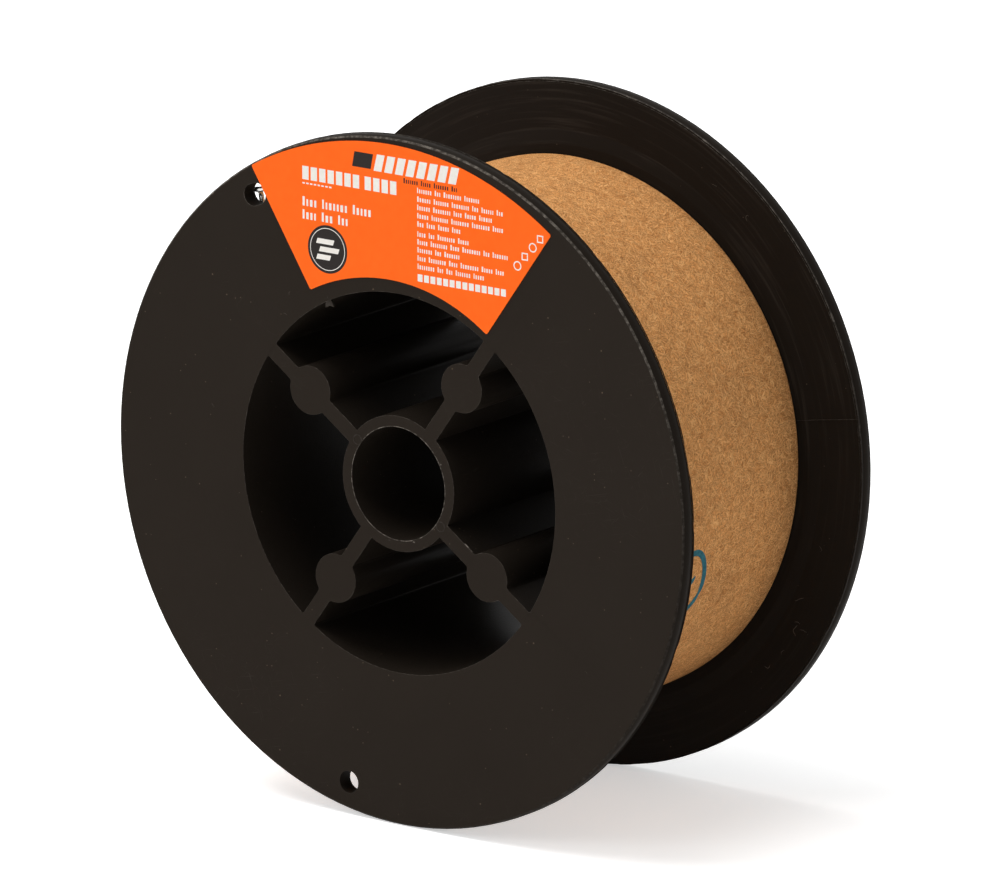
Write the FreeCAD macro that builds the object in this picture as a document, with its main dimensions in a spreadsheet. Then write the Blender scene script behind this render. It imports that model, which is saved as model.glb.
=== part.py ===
import FreeCAD, Part
import math
import os
import re
import Sketcher
from FreeCAD import Vector

# A 100 mm spool of MIG welding wire. It stands on the rims of its two flanges.
# The axis lies along Y, the labelled flange faces -Y and Z points up.
# The origin is the middle of the bore, halfway between the flanges.
# Angles are in degrees from +X towards +Z, as seen from the labelled side.

SIZES = {
    "flange_diameter": 100.5,
    "overall_width": 45.0,
    "rim_thickness": 2.5,
    "flange_thickness": 2.8,
    "land_outer_diameter": 86.0,
    "land_inner_diameter": 82.0,
    "rim_chamfer": 0.25,
    "rim_draft": 0.1,
    "bore_diameter": 16.5,
    "hub_wall": 1.65,
    "barrel_inner_diameter": 55.5,
    "barrel_wall": 2.0,
    "web_count": 4,
    "web_thickness": 2.35,
    "web_angle": 54.5,
    "web_fillet": 0.3,
    "post_fillet": 0.5,
    "post_diameter": 7.15,
    "post_offset": 0.45,
    "wire_hole_diameter": 3.3,
    "wire_hole_rim_margin": 4.0,
    "wire_hole_angle": 258.95,
    "slot_width": 3.2,
    "slot_length": 3.9,
    "slot_rim_margin": 4.1,
    "slot_angle": 124.1,
    "slot_lean": 13.7,
    "winding_fill": 0.4568,
    "shoulder_width": 4.0,
    "shoulder_drop": 0.2,
    "wind_clearance": 0.1,
    "wrap_clearance": 0.1,
    "wrap_thickness": 0.4,
    "wrap_front_gap": 1.0,
    "wrap_back_gap": 0.2,
    "lap_thickness": 0.15,
    "lap_sweep": 32.0,
    "lap_angle": 236.0,
    "label_rim_margin": 1.0,
    "label_height": 19.65,
    "label_start_angle": 54.95,
    "label_end_angle": 120.2,
    "label_end_trim": 1.5,
    "label_shift": -1.3,
    "label_thickness": 0.12,
    "label_corner": 0.3,
    "wire_diameter": 0.8,
    "wire_gap": 0.08,
    "wire_lead": 9.0,
    "wire_bend_radius": 0.9,
}

HUB_RADIUS = "(bore_diameter / 2 + hub_wall)"
BARREL_RADIUS = "(barrel_inner_diameter / 2 + barrel_wall)"
POST_DISTANCE = "((%s + barrel_inner_diameter / 2) / 2 + post_offset)" % HUB_RADIUS
WOUND_RADIUS = "(%s + winding_fill * (flange_diameter / 2 - %s))" % (BARREL_RADIUS, BARREL_RADIUS)
SHOULDER_FOOT = "(overall_width / 2 - flange_thickness - wrap_front_gap)"
SHOULDER_TOP = "(%s - shoulder_width)" % SHOULDER_FOOT
EDGE_RADIUS = "(%s - shoulder_drop)" % WOUND_RADIUS
SLOT_DISTANCE = "(flange_diameter / 2 - slot_rim_margin)"

doc = FreeCAD.newDocument("WeldingWireSpool")


def make_sheet():
    sheet = doc.addObject("Spreadsheet::Sheet", "Sizes")
    for row, (name, value) in enumerate(SIZES.items(), start=1):
        sheet.set("A%d" % row, name)
        sheet.set("B%d" % row, str(value))
        sheet.setAlias("B%d" % row, name)
    doc.recompute()
    return sheet


sheet = make_sheet()


def cells(text):
    """The expression with each size name pointed at its cell of the sheet."""
    return re.sub(r"[a-z]+(_[a-z]+)+", lambda found: "Sizes." + found.group(), text)


def value(text):
    """What an expression on the sheet's sizes comes to, as a plain number."""
    result = sheet.evalExpression(cells(text))
    return float(getattr(result, "Value", result))


def bind(item, prop, text):
    item.setExpression(prop, cells(text))


def new_body(label):
    body = doc.addObject("PartDesign::Body", label)
    body.Label = label
    return body


def origin_feature(body, role):
    return next(item for item in body.Origin.OriginFeatures if item.Role == role)


def new_sketch(body, name, plane, turn=None, lift=None):
    """A sketch on an origin plane: XZ_Plane is the front view, YZ_Plane the half section."""
    sketch = body.newObject("Sketcher::SketchObject", name)
    sketch.AttachmentSupport = [(origin_feature(body, plane), "")]
    sketch.MapMode = "FlatFace"
    if turn:
        sketch.AttachmentOffset = FreeCAD.Placement(Vector(), FreeCAD.Rotation(Vector(0, 0, 1), 1))
        bind(sketch, "AttachmentOffset.Rotation.Angle", turn)
    if lift:
        bind(sketch, "AttachmentOffset.Base.z", lift)
    doc.recompute()
    return sketch


def pin(sketch, geometry, vertex, across, up):
    """Hold one vertex at two distances from the sketch's origin."""
    for kind, text in (("DistanceX", across), ("DistanceY", up)):
        place = value(text)
        index = sketch.addConstraint(Sketcher.Constraint(kind, -1, 1, geometry, vertex, place))
        bind(sketch, "Constraints[%d]" % index, text)


def draw_outline(sketch, points):
    """A closed outline of straight lines whose corners are pairs of expressions."""
    places = [Vector(value(across), value(up), 0) for across, up in points]
    for start, end in zip(places, places[1:] + places[:1]):
        sketch.addGeometry(Part.LineSegment(start, end), False)
    for index, (across, up) in enumerate(points):
        before = (index - 1) % len(points)
        sketch.addConstraint(Sketcher.Constraint("Coincident", before, 2, index, 1))
        pin(sketch, index, 1, across, up)


def draw_circle(sketch, across, up, diameter):
    centre = Vector(value(across), value(up), 0)
    radius = value(diameter) / 2
    index = sketch.addGeometry(Part.Circle(centre, Vector(0, 0, 1), radius), False)
    pin(sketch, index, 3, across, up)
    size = sketch.addConstraint(Sketcher.Constraint("Radius", index, radius))
    bind(sketch, "Constraints[%d]" % size, "(%s) / 2" % diameter)


def draw_slot(sketch, across, up, length, width):
    """A straight slot along the sketch's X, from its first end's centre."""
    left, middle = value(across), value(up)
    right = left + value(length) - value(width)
    half = value(width) / 2
    quarter = math.pi / 2
    normal = Vector(0, 0, 1)
    first = Part.Circle(Vector(left, middle, 0), normal, half)
    last = Part.Circle(Vector(right, middle, 0), normal, half)
    sketch.addGeometry(Part.ArcOfCircle(first, quarter, 3 * quarter), False)
    sketch.addGeometry(Part.ArcOfCircle(last, -quarter, quarter), False)
    for side in (-half, half):
        start = Vector(left, middle + side, 0)
        sketch.addGeometry(Part.LineSegment(start, Vector(right, middle + side, 0)), False)
    for arc, vertex, line, end in ((0, 2, 2, 1), (0, 1, 3, 1), (1, 1, 2, 2), (1, 2, 3, 2)):
        sketch.addConstraint(Sketcher.Constraint("Tangent", arc, vertex, line, end))
    pin(sketch, 0, 3, across, up)
    pin(sketch, 1, 3, "%s + %s - %s" % (across, length, width), up)
    size = sketch.addConstraint(Sketcher.Constraint("Radius", 0, half))
    bind(sketch, "Constraints[%d]" % size, width + " / 2")


def revolve(body, name, sketch, sweep=None):
    """Turn a half section about the spool's own axis."""
    turned = body.newObject("PartDesign::Revolution", name)
    turned.Profile = sketch
    turned.ReferenceAxis = (sketch, ["H_Axis"])
    if sweep:
        turned.Midplane = True
        bind(turned, "Angle", sweep)
    doc.recompute()
    return turned


def pad_across(body, name, sketch):
    """Pad a front view over the spool's whole width."""
    pad = body.newObject("PartDesign::Pad", name)
    pad.Profile = sketch
    pad.Midplane = True
    bind(pad, "Length", "overall_width")
    doc.recompute()
    return pad


def repeat_round_axis(body, name, feature, count):
    pattern = body.newObject("PartDesign::PolarPattern", name)
    pattern.Originals = [feature]
    pattern.Axis = (origin_feature(body, "Y_Axis"), [""])
    pattern.Angle = 360
    bind(pattern, "Occurrences", count)
    body.Tip = pattern
    doc.recompute()
    return pattern


def cut(body, name, sketch, depth):
    """Pocket from the sketch towards the back of the spool. It has to remove something."""
    before = body.Shape.Volume
    pocket = body.newObject("PartDesign::Pocket", name)
    pocket.Profile = sketch
    bind(pocket, "Length", depth)
    doc.recompute()
    if pocket.Shape.Volume >= before:
        raise RuntimeError(name + " removes nothing")
    return pocket


def axial_edges(shape, radius):
    """Names of the straight edges along Y that lie at the given radius."""
    names = []
    for number, edge in enumerate(shape.Edges, start=1):
        ends = [vertex.Point for vertex in edge.Vertexes]
        straight = len(ends) == 2 and abs(abs(ends[0].y - ends[1].y) - edge.Length) < 1e-4
        if straight and abs(math.hypot(ends[0].x, ends[0].z) - radius) < 0.01:
            names.append("Edge%d" % number)
    return names


def round_axial_edges(body, name, distances, radius):
    """Round the edges along Y that lie at the given distances from the spool's axis."""
    base = body.Tip
    fillet = body.newObject("PartDesign::Fillet", name)
    edges = [edge for distance in distances for edge in axial_edges(base.Shape, value(distance))]
    fillet.Base = (base, edges)
    bind(fillet, "Radius", radius)
    doc.recompute()
    return fillet


def make_spool_body():
    """One moulding: flanges, barrel, hub, webs with their posts, and the wire holes."""
    body = new_body("spool_body")
    section = new_sketch(body, "FlangeSection", "YZ_Plane")
    half = "overall_width / 2"
    rim = "flange_diameter / 2"
    rim_inner = half + " - rim_thickness"
    land = half + " - flange_thickness"
    one_side = [
        (land, BARREL_RADIUS),
        (land, "land_inner_diameter / 2"),
        (rim_inner, "land_outer_diameter / 2"),
        (rim_inner, rim + " - rim_chamfer - rim_draft"),
        (rim_inner + " + rim_chamfer", rim + " - rim_draft"),
        (half + " - rim_thickness / 2", rim),
        (half + " - rim_chamfer", rim + " - rim_draft"),
        (half, rim + " - rim_chamfer - rim_draft"),
        (half, "barrel_inner_diameter / 2"),
    ]
    mirrored = [("-(%s)" % across, up) for across, up in reversed(one_side)]
    draw_outline(section, one_side + mirrored)
    revolve(body, "FlangesAndBarrel", section)

    web = new_sketch(body, "WebOutline", "XZ_Plane", turn="web_angle")
    root = HUB_RADIUS + " - hub_wall / 2"
    tip = "barrel_inner_diameter / 2 + barrel_wall / 2"
    side = "web_thickness / 2"
    draw_outline(web, [(root, "-" + side), (tip, "-" + side), (tip, side), (root, side)])
    repeat_round_axis(body, "Webs", pad_across(body, "Web", web), "web_count")

    post = new_sketch(body, "PostOutline", "XZ_Plane", turn="web_angle")
    draw_circle(post, POST_DISTANCE, "0", "post_diameter")
    repeat_round_axis(body, "Posts", pad_across(body, "Post", post), "web_count")
    round_axial_edges(body, "WebRoots", ["barrel_inner_diameter / 2"], "web_fillet")
    chord = "sqrt((post_diameter / 2)^2 - (web_thickness / 2)^2)"
    seams = ["sqrt((%s %s %s)^2 + (web_thickness / 2)^2)" % (POST_DISTANCE, sign, chord) for sign in "+-"]
    round_axial_edges(body, "PostRoots", seams, "post_fillet")

    hub = new_sketch(body, "HubOutline", "XZ_Plane")
    draw_circle(hub, "0", "0", "2 * " + HUB_RADIUS)
    pad_across(body, "Hub", hub)

    front = half
    bore = new_sketch(body, "BoreOutline", "XZ_Plane", lift=front)
    draw_circle(bore, "0", "0", "bore_diameter")
    cut(body, "Bore", bore, "overall_width")

    hole = new_sketch(body, "WireHoleOutline", "XZ_Plane", turn="wire_hole_angle", lift=front)
    hole_distance = "flange_diameter / 2 - wire_hole_rim_margin"
    draw_circle(hole, hole_distance, "0", "wire_hole_diameter")
    cut(body, "WireHole", hole, "rim_thickness * 2")

    slot = new_sketch(body, "WireSlotOutline", "XZ_Plane", turn="slot_angle - slot_lean - 90", lift=front)
    across, up = "-%s * sin(slot_lean)" % SLOT_DISTANCE, "%s * cos(slot_lean)" % SLOT_DISTANCE
    draw_slot(slot, across, up, "slot_length", "slot_width")
    cut(body, "WireSlot", slot, "rim_thickness * 2")
    return body


def make_wire_coil():
    """The wound wire as one turned solid with the barrel's bore, its top layer short at both sides."""
    body = new_body("wire_coil")
    section = new_sketch(body, "CoilSection", "YZ_Plane")
    side = "(overall_width / 2 - flange_thickness - wind_clearance)"
    one_side = [
        (side, BARREL_RADIUS + " + wind_clearance"),
        (side, EDGE_RADIUS),
        (SHOULDER_FOOT, EDGE_RADIUS),
        (SHOULDER_TOP, WOUND_RADIUS),
    ]
    mirrored = [("-" + across, up) for across, up in reversed(one_side)]
    draw_outline(section, one_side + mirrored)
    revolve(body, "WoundWire", section)
    return body


def paper_section(low, high):
    """A layer of paper between two heights over the wound wire, pushed against the back flange."""
    back_edge = "overall_width / 2 - flange_thickness - wrap_back_gap"
    line = [
        ("-" + SHOULDER_FOOT, EDGE_RADIUS),
        ("-" + SHOULDER_TOP, WOUND_RADIUS),
        (SHOULDER_TOP, WOUND_RADIUS),
        (SHOULDER_FOOT, EDGE_RADIUS),
        (back_edge, EDGE_RADIUS),
    ]
    under = [(across, "%s + %s" % (up, low)) for across, up in line]
    over = [(across, "%s + %s" % (up, high)) for across, up in reversed(line)]
    return under + over


def make_kraft_wrap():
    """The paper band round the wire, with its end lapped over on the underside."""
    body = new_body("kraft_wrap")
    band = new_sketch(body, "BandSection", "YZ_Plane")
    draw_outline(band, paper_section("wrap_clearance", "wrap_clearance + wrap_thickness"))
    revolve(body, "Band", band)
    lap = new_sketch(body, "LapSection", "YZ_Plane")
    bottom = "wrap_clearance + wrap_thickness / 2"
    draw_outline(lap, paper_section(bottom, "wrap_clearance + wrap_thickness + lap_thickness"))
    revolve(body, "Lap", lap, "lap_sweep")
    body.Placement = FreeCAD.Placement(Vector(), FreeCAD.Rotation(Vector(0, 1, 0), 1))
    bind(body, "Placement.Rotation.Angle", "90 - lap_angle + 360")
    doc.recompute()
    return body


def make_label():
    """The sticker, a sector of a ring, stuck a little off the spool's centre.

    Its left end was cut a little askew, so a thin wedge is missing there.
    """
    body = new_body("label")
    section = new_sketch(body, "LabelSection", "YZ_Plane")
    back = "-overall_width / 2"
    face = back + " - label_thickness"
    outer = "flange_diameter / 2 - label_rim_margin"
    inner = outer + " - label_height"
    draw_outline(section, [(face, inner), (back, inner), (back, outer), (face, outer)])
    revolve(body, "Sector", section, "label_end_angle - label_start_angle")
    wedge = new_sketch(body, "TrimmedWedge", "XZ_Plane", lift="overall_width / 2 + label_thickness")
    half_sweep = "(label_end_angle - label_start_angle) / 2"
    below = inner + " - label_thickness"
    corners = [(outer, ""), (below, " + label_end_trim"), (inner, " - label_end_trim")]
    draw_outline(wedge, [
        ("-(%s) * sin(%s%s)" % (reach, half_sweep, turn), "(%s) * cos(%s%s)" % (reach, half_sweep, turn))
        for reach, turn in corners
    ])
    cut(body, "TrimmedEnd", wedge, "label_thickness * 2")
    round_axial_edges(body, "LabelCorners", [inner, outer], "label_corner")
    body.Placement = FreeCAD.Placement(Vector(), FreeCAD.Rotation(Vector(0, 1, 0), 1))
    bind(body, "Placement.Base.x", "label_shift")
    bind(body, "Placement.Rotation.Angle", "90 - (label_start_angle + label_end_angle) / 2")
    doc.recompute()
    return body


def bent_wire(points, bend_radius):
    """Straight runs joined by tangent arcs of one radius."""
    edges = []
    start = points[0]
    for before, corner, after in zip(points, points[1:], points[2:]):
        back = (before - corner).normalize()
        ahead = (after - corner).normalize()
        half_angle = back.getAngle(ahead) / 2
        reach = bend_radius / math.tan(half_angle)
        middle = (back + ahead).normalize() * (bend_radius / math.sin(half_angle) - bend_radius)
        entry, leave = corner + back * reach, corner + ahead * reach
        edges.append(Part.LineSegment(start, entry).toShape())
        edges.append(Part.Arc(entry, corner + middle, leave).toShape())
        start = leave
    edges.append(Part.LineSegment(start, points[-1]).toShape())
    return Part.Wire(edges)


def wire_route():
    """Centreline of the free end: off the coil, up behind the flange and into the slot.

    Each place is counted from the centre of the slot's first end: along the slot, square
    to it and away from the coil, and the depth on Y.
    """
    half = value("wire_diameter / 2")
    behind_land = -value("overall_width / 2 - flange_thickness - wire_gap") + half
    in_slot = -value("overall_width / 2 - rim_thickness / 2")
    on_coil = value(EDGE_RADIUS + " + wire_gap") + half
    lead = value("wire_lead")
    aside, above = value(SLOT_DISTANCE + " * sin(slot_lean)"), value(SLOT_DISTANCE + " * cos(slot_lean)")
    rise = math.sqrt(on_coil ** 2 - (aside + lead) ** 2) - above
    reach = value("slot_length - slot_width / 2 - wire_diameter")
    turn = math.radians(value("slot_angle - slot_lean"))
    square = Vector(math.cos(turn), 0, math.sin(turn))
    along_slot = Vector(math.sin(turn), 0, -math.cos(turn))
    stops = [
        (-lead, rise, behind_land),
        (-0.6 * lead, 0.76 * rise, behind_land),
        (-0.2 * lead, 0.3 * rise, behind_land),
        (-1.2, 0.1, behind_land),
        (-0.7, 0.6, in_slot + 0.7),
        (0.35, 0.5, in_slot),
        (reach, 0.4, in_slot - 0.1),
    ]
    return [
        square * (above + outward) + along_slot * (along - aside) + Vector(0, depth, 0)
        for along, outward, depth in stops
    ]


def make_wire_end():
    """The free end of the wire, hooked into the slot so that the coil can't unwind."""
    path = bent_wire(wire_route(), value("wire_bend_radius"))
    first = path.Edges[0]
    start = first.valueAt(first.FirstParameter)
    along = first.tangentAt(first.FirstParameter)
    ring = Part.Wire([Part.makeCircle(value("wire_diameter / 2"), start, along)])
    wire = doc.addObject("Part::Feature", "wire_end")
    wire.Label = "wire_end"
    wire.Shape = path.makePipeShell([ring], True, False)
    return wire


def write_parts(pieces):
    doc.recompute()
    for item in doc.Objects:
        if "Invalid" in item.State or "Error" in item.State:
            raise RuntimeError(item.Label + " did not build")
    os.makedirs("parts", exist_ok=True)
    for piece in pieces:
        shape = piece.Shape
        if shape.isNull() or not shape.isValid() or len(shape.Solids) != 1:
            raise RuntimeError(piece.Label + " is not one valid solid")
        shape.exportStep("parts/%s.step" % piece.Label)
        print(piece.Label, round(shape.Volume, 1), "mm3")


write_parts([
    make_spool_body(),
    make_wire_coil(),
    make_kraft_wrap(),
    make_label(),
    make_wire_end(),
])
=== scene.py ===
import math
import random

import bmesh
import bpy
from mathutils import Matrix, Vector, noise


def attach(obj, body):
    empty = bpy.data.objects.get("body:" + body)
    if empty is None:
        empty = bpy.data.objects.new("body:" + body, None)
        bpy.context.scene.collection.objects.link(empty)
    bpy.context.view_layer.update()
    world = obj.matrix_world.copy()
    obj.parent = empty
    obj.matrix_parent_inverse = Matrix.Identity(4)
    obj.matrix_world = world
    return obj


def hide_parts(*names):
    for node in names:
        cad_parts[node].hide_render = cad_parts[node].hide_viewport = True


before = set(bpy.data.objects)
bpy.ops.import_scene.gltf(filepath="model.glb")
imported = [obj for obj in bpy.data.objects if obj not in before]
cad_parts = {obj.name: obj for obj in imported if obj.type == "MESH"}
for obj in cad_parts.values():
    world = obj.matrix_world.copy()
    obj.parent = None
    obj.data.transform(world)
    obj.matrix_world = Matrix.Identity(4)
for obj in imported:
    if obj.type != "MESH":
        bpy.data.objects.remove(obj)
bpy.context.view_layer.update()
MM = 0.001

# The camera stands well back on the labelled side, a little to the right and above,
# and looks at the spool through a long lens.
AZIMUTH = math.radians(36.949)
ELEVATION = math.radians(14.808)
ROLL = math.radians(0.064)
DISTANCE = 2.4725
AIM_ACROSS = 1.084 * MM
AIM_UP = 1.395 * MM
SENSOR = 36.0
LENS = 622.75

flat_back = math.cos(ELEVATION)
towards = Vector((math.sin(AZIMUTH) * flat_back, -math.cos(AZIMUTH) * flat_back, math.sin(ELEVATION)))
level = Vector((math.cos(AZIMUTH), math.sin(AZIMUTH), 0))
upright = towards.cross(level)
across = level * math.cos(ROLL) + upright * math.sin(ROLL)
up = upright * math.cos(ROLL) - level * math.sin(ROLL)
camera_data = bpy.data.cameras.new("camera")
camera_data.sensor_width = SENSOR
camera_data.lens = LENS
camera_data.clip_start = 0.1
camera_data.clip_end = 50
camera = bpy.data.objects.new("camera", camera_data)
camera.matrix_world = Matrix.Translation(
    towards * DISTANCE + across * AIM_ACROSS + up * AIM_UP
) @ Matrix((across, up, towards)).transposed().to_4x4()
bpy.context.scene.collection.objects.link(camera)
bpy.context.scene.camera = camera
bpy.context.scene.view_settings.view_transform = "Standard"


# The spool is one moulding in black plastic. Its flanges have a fine matt grain outside,
# and the walls inside the windows are glossier. It stands on the rims of its flanges.
FLANGE_RADIUS = 50.25 * MM
FLANGE_FACE = 22.5 * MM
FLANGE_RIM = 1.5 * MM
BARREL_BORE = 27.75 * MM
PLASTIC_DARK = (0.0186, 0.0142, 0.0108, 1)
PLASTIC_LIGHT = (0.0228, 0.0176, 0.0135, 1)
PLASTIC_SMOOTH_AND_SHADE = (0.0030, 0.0022, 0.0014, 1)
PLASTIC_TURNED_SHEEN = (0.050, 0.041, 0.033, 1)
PLASTIC_SCRATCHED = (0.060, 0.051, 0.043, 1)
PLASTIC_WORN_AND_HIGHLIGHT = (0.170, 0.150, 0.128, 1)
PLASTIC_DUST = (0.17, 0.125, 0.085, 1)
PLASTIC_GLOSS = 0.022
SCRATCHES = ((0.35, 3 * MM), (1.25, 4 * MM), (2.3, 2.5 * MM), (2.9, 5 * MM))


def new_material(name):
    material = bpy.data.materials.new(name)
    material.use_nodes = True
    tree = material.node_tree
    tree.nodes.clear()
    shader = tree.nodes.new("ShaderNodeBsdfPrincipled")
    output = tree.nodes.new("ShaderNodeOutputMaterial")
    tree.links.new(shader.outputs["BSDF"], output.inputs["Surface"])
    return material, tree, shader


def add_node(tree, kind, inputs=None, **settings):
    """A shader node. An input is either another node's output or a plain value."""
    made = tree.nodes.new("ShaderNode" + kind)
    for name, setting in settings.items():
        setattr(made, name, setting)
    for name, given in (inputs or {}).items():
        if isinstance(given, bpy.types.NodeSocket):
            tree.links.new(given, made.inputs[name])
        else:
            made.inputs[name].default_value = given
    return made


def calc(tree, operation, first, second=0.0, third=0.0):
    made = add_node(tree, "Math", {0: first, 1: second, 2: third}, operation=operation)
    return made.outputs[0]


def ramp(tree, given, low, high, start=0.0, end=1.0):
    """A smooth step of a value, from start below low to end above high."""
    inputs = {"Value": given, "From Min": low, "From Max": high, "To Min": start, "To Max": end}
    return add_node(tree, "MapRange", inputs, interpolation_type="SMOOTHSTEP").outputs[0]


def fade(tree, share, below, above):
    """A colour that goes from one to the other by a share."""
    made = add_node(tree, "Mix", data_type="RGBA")
    for index, given in ((0, share), (6, below), (7, above)):
        if isinstance(given, bpy.types.NodeSocket):
            tree.links.new(given, made.inputs[index])
        else:
            made.inputs[index].default_value = given
    return made.outputs[2]


def cloud(tree, place, scale, detail=2.0, roughness=0.5):
    inputs = {"Vector": place, "Scale": scale, "Detail": detail, "Roughness": roughness}
    return add_node(tree, "TexNoise", inputs).outputs["Fac"]


def streaks(tree, place, turn, size, low, high):
    """Thin broken lines that all run one way, about as long, wide and deep as the size."""
    inputs = {"Vector": place, "Rotation": turn, "Scale": size}
    turned = add_node(tree, "Mapping", inputs, vector_type="TEXTURE").outputs[0]
    return ramp(tree, cloud(tree, turned, 1.0, 1.0), low, high)


def specks(tree, place, scale, size, share):
    """Small round dots, one in a share of the cells."""
    cells = add_node(tree, "TexVoronoi", {"Vector": place, "Scale": scale})
    dot = ramp(tree, cells.outputs["Distance"], size * 0.6, size, 1.0, 0.0)
    chosen = add_node(tree, "SeparateColor", {0: cells.outputs["Color"]}).outputs[0]
    return calc(tree, "MULTIPLY", dot, calc(tree, "LESS_THAN", chosen, share))


def plastic_material():
    material, tree, shader = new_material("black_moulded_plastic")
    place = add_node(tree, "TexCoord").outputs["Object"]
    axes = add_node(tree, "SeparateXYZ", {0: place})
    x, y, z = axes.outputs
    squares = calc(tree, "ADD", calc(tree, "MULTIPLY", x, x), calc(tree, "MULTIPLY", z, z))
    radius = calc(tree, "SQRT", squares)
    depth = calc(tree, "ABSOLUTE", y)
    geometry = add_node(tree, "NewGeometry").outputs
    facing = calc(tree, "ABSOLUTE", add_node(tree, "SeparateXYZ", {0: geometry["Normal"]}).outputs[1])
    flat = ramp(tree, facing, 0.6, 0.9)
    inside = ramp(tree, radius, BARREL_BORE + 0.2 * MM, BARREL_BORE + 0.6 * MM, 1.0, 0.0)
    window_wall = calc(tree, "MULTIPLY", inside, calc(tree, "SUBTRACT", 1.0, flat))
    between = calc(tree, "MULTIPLY", flat, calc(tree, "LESS_THAN", depth, FLANGE_FACE - FLANGE_RIM))
    outside = calc(tree, "MULTIPLY", flat, calc(tree, "GREATER_THAN", depth, FLANGE_FACE - FLANGE_RIM))

    # Slow change of tone, with patches of fine scratches and a little dust on top.
    mottle = cloud(tree, place, 60.0, 3.0)
    base = fade(tree, mottle, PLASTIC_DARK, PLASTIC_LIGHT)
    rubbed = ramp(tree, cloud(tree, place, 34.0, 2.0), 0.42, 0.66)
    scratches = None
    for angle, length in SCRATCHES:
        size = (length, 3 * MM, 0.09 * MM)
        lines = streaks(tree, place, (0, angle, 0), size, 0.71, 0.80)
        scratches = lines if scratches is None else calc(tree, "MAXIMUM", scratches, lines)
    scuff = calc(tree, "MULTIPLY", calc(tree, "MULTIPLY", scratches, rubbed), 0.34)
    colour = fade(tree, scuff, base, PLASTIC_SCRATCHED)
    fine_dust = specks(tree, place, 1100.0, 0.11, 0.10)
    dust = calc(tree, "MAXIMUM", fine_dust, specks(tree, place, 420.0, 0.06, 0.14))
    colour = fade(tree, calc(tree, "MULTIPLY", dust, 0.55), colour, PLASTIC_DUST)

    # Every face but the grained outer ones is made deeper black, partly for the smoother mould finish
    # and partly as painted shade between the flanges, in the windows and on the rims. The inner faces of the
    # flanges have faint paler turned lines, with a painted sheen that makes them plainest at the top.
    # Painted shade, together with the smoother finish: all faces but the outer flat ones are darkened.
    smooth_and_shade_share = calc(tree, "MULTIPLY", calc(tree, "SUBTRACT", 1.0, outside), 0.42)
    colour = fade(tree, smooth_and_shade_share, colour, PLASTIC_SMOOTH_AND_SHADE)
    turned_place = add_node(tree, "CombineXYZ", {
        0: calc(tree, "MULTIPLY", radius, 1500.0),
        1: calc(tree, "MULTIPLY", calc(tree, "ARCTAN2", z, x), 2.2),
    }).outputs[0]
    turned_sheen_lines = ramp(tree, cloud(tree, turned_place, 1.0, 3.0, 0.6), 0.50, 0.72, 0.0, 0.30)
    # Painted sheen: the paler turned lines are stronger towards the top and weaker towards the bottom.
    turned_sheen_lines = calc(tree, "MULTIPLY", turned_sheen_lines, ramp(tree, z, -25 * MM, 25 * MM, 0.25, 1.0))
    colour = fade(tree, calc(tree, "MULTIPLY", turned_sheen_lines, between), colour, PLASTIC_TURNED_SHEEN)

    # Every outer edge is painted paler, partly as rubbed wear and partly as a painted highlight,
    # strongest on top, where the lamps' highlights fall, and along the edges of the webs, posts and hub too.
    flat_normal = add_node(tree, "SeparateXYZ", {0: geometry["True Normal"]}).outputs
    tilt = calc(tree, "ABSOLUTE", flat_normal[1])
    slanted = calc(tree, "MULTIPLY", ramp(tree, tilt, 0.12, 0.22), ramp(tree, tilt, 0.93, 0.985, 1.0, 0.0))
    at_rim = calc(tree, "GREATER_THAN", radius, FLANGE_RADIUS - 0.6 * MM)
    at_face = calc(tree, "GREATER_THAN", depth, FLANGE_FACE - 0.4 * MM)
    edge = calc(tree, "MULTIPLY", slanted, calc(tree, "MAXIMUM", at_face, at_rim))
    # Painted highlight: the pale edges get stronger towards the top and along the edges inside the windows.
    highlight_share = ramp(tree, z, -10 * MM, 38 * MM, 0.18, 1.0)
    highlight_share = calc(tree, "MAXIMUM", highlight_share, calc(tree, "MULTIPLY", inside, 0.62))
    broken = ramp(tree, cloud(tree, place, 1300.0, 4.0, 0.7), 0.40, 0.66, 0.12, 0.80)
    wear_and_highlight = calc(tree, "MULTIPLY", calc(tree, "MULTIPLY", edge, highlight_share), broken)
    colour = fade(tree, wear_and_highlight, colour, PLASTIC_WORN_AND_HIGHLIGHT)
    tree.links.new(colour, shader.inputs["Base Color"])

    # Matt flanges, polished walls in the windows, turned rings inside the flanges.
    matt = calc(tree, "ADD", 0.44, calc(tree, "MULTIPLY", mottle, 0.12))
    glossy = calc(tree, "ADD", 0.30, calc(tree, "MULTIPLY", mottle, 0.12))
    wall = calc(tree, "MULTIPLY", window_wall, calc(tree, "SUBTRACT", glossy, matt))
    inner = calc(tree, "MULTIPLY", between, -0.10)
    rough = calc(tree, "ADD", calc(tree, "ADD", matt, wall), inner)
    tree.links.new(rough, shader.inputs["Roughness"])
    shader.inputs["Specular IOR Level"].default_value = PLASTIC_GLOSS

    grain = cloud(tree, place, 4200.0, 2.0, 0.6)
    ring_place = add_node(tree, "CombineXYZ", {0: calc(tree, "MULTIPLY", radius, 2200.0)}).outputs[0]
    rings = calc(tree, "MULTIPLY", cloud(tree, ring_place, 1.0, 2.0), between)
    pebbles = calc(tree, "ADD", 0.5, calc(tree, "MULTIPLY", window_wall, 2.6))
    rise = calc(tree, "ADD", calc(tree, "MULTIPLY", grain, pebbles), calc(tree, "MULTIPLY", rings, 0.9))
    relief = add_node(tree, "Bump", {"Height": rise, "Strength": 0.35, "Distance": 0.03 * MM})
    tree.links.new(relief.outputs[0], shader.inputs["Normal"])
    return material


def dress(item, material):
    """Give a piece its one material."""
    item.data.materials.clear()
    item.data.materials.append(material)


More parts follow.
